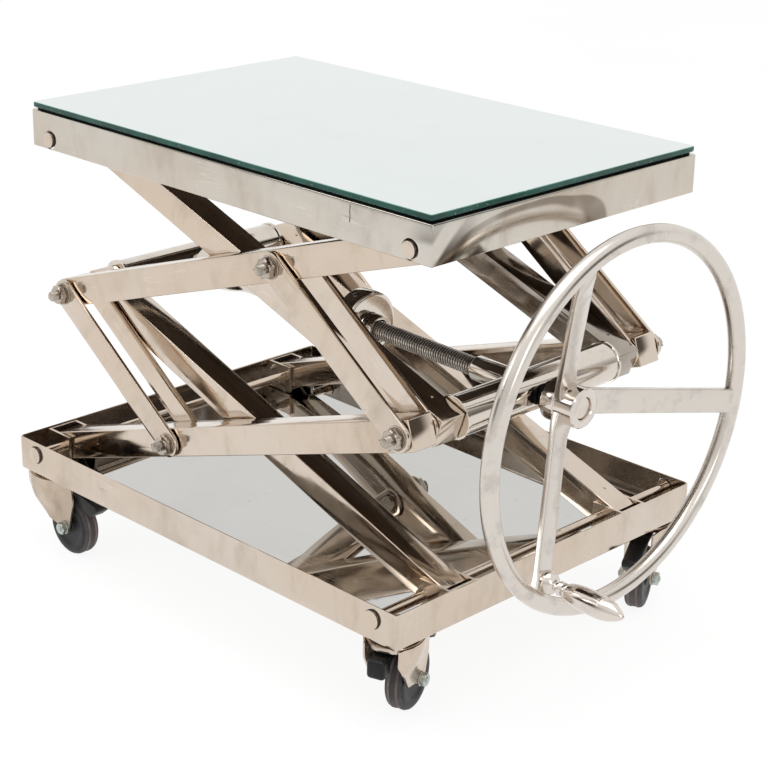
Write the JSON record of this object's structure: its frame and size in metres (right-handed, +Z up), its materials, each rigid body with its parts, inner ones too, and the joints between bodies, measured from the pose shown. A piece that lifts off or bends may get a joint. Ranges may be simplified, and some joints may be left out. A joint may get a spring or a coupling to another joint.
{
  "type": "lab jack",
  "caption": "Crank-operated scissor lift table on swivel casters, with a mirrored glass top, twin linked bar pairs and a lead screw turned by a handwheel.",
  "frame": {"origin": "centre of the lower tray's floor, on its upper face, midway between the four lower pivots", "axes": "+Z up, +X along the long side towards the handwheel, +Y across the table"},
  "size_m": [1.1867, 0.7356, 0.7816],
  "materials": {
    "polished_nickel": "polished, lightly stained",
    "satin_nickel": "satin, stained",
    "oiled_steel": "oiled",
    "mirrored_glass": "mirrored, green edge",
    "black_pad": "matte",
    "grey_rubber": "matte",
    "zinc_plate": "zinc plated"
  },
  "bodies": {
    "base": {"base_tray": "polished_nickel", "clevis_left_near": "polished_nickel", "clevis_left_far": "polished_nickel", "clevis_right_near": "polished_nickel", "clevis_right_far": "polished_nickel", "base_shaft_left": "polished_nickel", "base_shaft_right": "polished_nickel"},
    "lower_outer_bars": {"lower_outer_bar_near": "polished_nickel", "lower_outer_bar_far": "polished_nickel", "link_bolt_low_near": "polished_nickel", "link_bolt_low_far": "polished_nickel"},
    "lower_inner_bars": {"lower_inner_bar_near": "polished_nickel", "lower_inner_bar_far": "polished_nickel"},
    "upper_inner_bars": {"upper_inner_bar_near": "polished_nickel", "upper_inner_bar_far": "polished_nickel"},
    "upper_outer_bars": {"upper_outer_bar_near": "polished_nickel", "upper_outer_bar_far": "polished_nickel", "link_bolt_high_near": "polished_nickel", "link_bolt_high_far": "polished_nickel"},
    "top": {"top_frame": "polished_nickel", "glass_pad": "black_pad", "mirror_glass": "mirrored_glass", "top_shaft_left": "polished_nickel", "top_shaft_right": "polished_nickel"},
    "tube_left": {"cross_tube_left": "polished_nickel", "nut_carrier": "polished_nickel", "stub_bolt_left_near": "polished_nickel", "stub_bolt_left_far": "polished_nickel"},
    "tube_right": {"cross_tube_right": "polished_nickel", "thrust_ring": "black_pad", "stub_bolt_right_near": "polished_nickel", "stub_bolt_right_far": "polished_nickel"},
    "links_left": {"left_link_outer_near": "polished_nickel", "left_link_outer_far": "polished_nickel", "left_link_inner_near": "polished_nickel", "left_link_inner_far": "polished_nickel"},
    "links_right": {"right_link_outer_near": "polished_nickel", "right_link_outer_far": "polished_nickel", "right_link_inner_near": "polished_nickel", "right_link_inner_far": "polished_nickel"},
    "screw": {"lead_screw": "oiled_steel", "handwheel": "polished_nickel", "handle_spindle": "polished_nickel"},
    "crank_handle": {"crank_handle": "polished_nickel"},
    "caster_near_left": {"caster_fork_near_left": "satin_nickel", "caster_axle_near_left": "zinc_plate"},
    "wheel_near_left": {"caster_wheel_near_left": "grey_rubber"},
    "brake_near_left": {"caster_brake_near_left": "black_pad"},
    "caster_near_right": {"caster_fork_near_right": "satin_nickel", "caster_axle_near_right": "zinc_plate"},
    "wheel_near_right": {"caster_wheel_near_right": "grey_rubber"},
    "brake_near_right": {"caster_brake_near_right": "black_pad"},
    "caster_far_left": {"caster_fork_far_left": "satin_nickel", "caster_axle_far_left": "zinc_plate"},
    "wheel_far_left": {"caster_wheel_far_left": "grey_rubber"},
    "brake_far_left": {"caster_brake_far_left": "black_pad"},
    "caster_far_right": {"caster_fork_far_right": "satin_nickel", "caster_axle_far_right": "zinc_plate"},
    "wheel_far_right": {"caster_wheel_far_right": "grey_rubber"},
    "brake_far_right": {"caster_brake_far_right": "black_pad"}
  },
  "joints": [
    {"name": "lower_outer_fold", "type": "hinge", "parent": "base", "child": "lower_outer_bars", "pos_m": [-0.409, 0, 0.033], "axis": [0, -1, 0], "range_deg": [-8, 8]},
    {"name": "lower_inner_fold", "type": "hinge", "parent": "base", "child": "lower_inner_bars", "pos_m": [0.409, 0, 0.033], "axis": [0, -1, 0], "range_deg": [-8, 8]},
    {"name": "upper_inner_fold", "type": "hinge", "parent": "lower_outer_bars", "child": "upper_inner_bars", "pos_m": [0.39559, 0, 0.29443], "axis": [0, -1, 0], "range_deg": [-16, 16]},
    {"name": "upper_outer_fold", "type": "hinge", "parent": "lower_inner_bars", "child": "upper_outer_bars", "pos_m": [-0.38798, 0, 0.31679], "axis": [0, -1, 0], "range_deg": [-16, 16]},
    {"name": "top_level", "type": "hinge", "parent": "upper_inner_bars", "child": "top", "pos_m": [-0.40139, 0, 0.57822], "axis": [0, -1, 0], "range_deg": [-8, 8]},
    {"name": "tube_left_turn", "type": "hinge", "parent": "lower_inner_bars", "child": "tube_left", "pos_m": [-0.38798, 0, 0.31679], "axis": [0, -1, 0], "range_deg": [-7.95, 7.95]},
    {"name": "tube_right_turn", "type": "hinge", "parent": "lower_outer_bars", "child": "tube_right", "pos_m": [0.39559, 0, 0.29443], "axis": [0, -1, 0], "range_deg": [-8.1, 8.1]},
    {"name": "link_left_turn", "type": "hinge", "parent": "lower_inner_bars", "child": "links_left", "pos_m": [-0.38798, 0, 0.31679], "axis": [0, -1, 0], "range_deg": [-7.55, 7.55]},
    {"name": "link_right_turn", "type": "hinge", "parent": "lower_outer_bars", "child": "links_right", "pos_m": [0.39559, 0, 0.29443], "axis": [0, -1, 0], "range_deg": [-23.6, 23.6]},
    {"name": "handwheel_turn", "type": "hinge", "parent": "tube_right", "child": "screw", "pos_m": [0.39559, 0, 0.29443], "axis": [-0.9996, 0, 0.0285], "range_deg": [-4558, 4558]},
    {"name": "crank_handle_spin", "type": "hinge", "parent": "screw", "child": "crank_handle", "pos_m": [0.56161, -0.14779, 0.08241], "axis": [0.9996, 0, -0.0285], "continuous": true},
    {"name": "swivel_near_left", "type": "hinge", "parent": "base", "child": "caster_near_left", "pos_m": [-0.412, -0.301, 0], "axis": [0, 0, 1], "continuous": true},
    {"name": "roll_near_left", "type": "hinge", "parent": "caster_near_left", "child": "wheel_near_left", "pos_m": [-0.367, -0.301, -0.096], "axis": [0, 1, 0], "continuous": true},
    {"name": "brake_lever_near_left", "type": "hinge", "parent": "caster_near_left", "child": "brake_near_left", "pos_m": [-0.412, -0.301, -0.024], "axis": [0, 1, 0], "range_deg": [0, 3]},
    {"name": "swivel_near_right", "type": "hinge", "parent": "base", "child": "caster_near_right", "pos_m": [0.412, -0.301, 0], "axis": [0, 0, 1], "continuous": true},
    {"name": "roll_near_right", "type": "hinge", "parent": "caster_near_right", "child": "wheel_near_right", "pos_m": [0.39809, -0.2582, -0.096], "axis": [-0.9511, -0.309, 0], "continuous": true},
    {"name": "brake_lever_near_right", "type": "hinge", "parent": "caster_near_right", "child": "brake_near_right", "pos_m": [0.412, -0.301, -0.024], "axis": [-0.9511, -0.309, 0], "range_deg": [0, 3]},
    {"name": "swivel_far_left", "type": "hinge", "parent": "base", "child": "caster_far_left", "pos_m": [-0.412, 0.301, 0], "axis": [0, 0, 1], "continuous": true},
    {"name": "roll_far_left", "type": "hinge", "parent": "caster_far_left", "child": "wheel_far_left", "pos_m": [-0.36971, 0.31639, -0.096], "axis": [-0.342, 0.9397, 0], "continuous": true},
    {"name": "brake_lever_far_left", "type": "hinge", "parent": "caster_far_left", "child": "brake_far_left", "pos_m": [-0.412, 0.301, -0.024], "axis": [-0.342, 0.9397, 0], "range_deg": [0, 3]},
    {"name": "swivel_far_right", "type": "hinge", "parent": "base", "child": "caster_far_right", "pos_m": [0.412, 0.301, 0], "axis": [0, 0, 1], "continuous": true},
    {"name": "roll_far_right", "type": "hinge", "parent": "caster_far_right", "child": "wheel_far_right", "pos_m": [0.43102, 0.26022, -0.096], "axis": [0.9063, 0.4226, 0], "continuous": true},
    {"name": "brake_lever_far_right", "type": "hinge", "parent": "caster_far_right", "child": "brake_far_right", "pos_m": [0.412, 0.301, -0.024], "axis": [0.9063, 0.4226, 0], "range_deg": [0, 3]}
  ],
  "couplings": [
    {"joint": "lower_outer_fold", "follows": "handwheel_turn", "ratio": 0.001755},
    {"joint": "lower_inner_fold", "follows": "handwheel_turn", "ratio": -0.001755},
    {"joint": "upper_inner_fold", "follows": "handwheel_turn", "ratio": -0.00351},
    {"joint": "upper_outer_fold", "follows": "handwheel_turn", "ratio": 0.00351},
    {"joint": "top_level", "follows": "handwheel_turn", "ratio": 0.001755},
    {"joint": "tube_left_turn", "follows": "handwheel_turn", "ratio": 0.0017368},
    {"joint": "tube_right_turn", "follows": "handwheel_turn", "ratio": -0.0017733},
    {"joint": "link_left_turn", "follows": "handwheel_turn", "ratio": -0.001648},
    {"joint": "link_right_turn", "follows": "handwheel_turn", "ratio": -0.0051579}
  ]
}
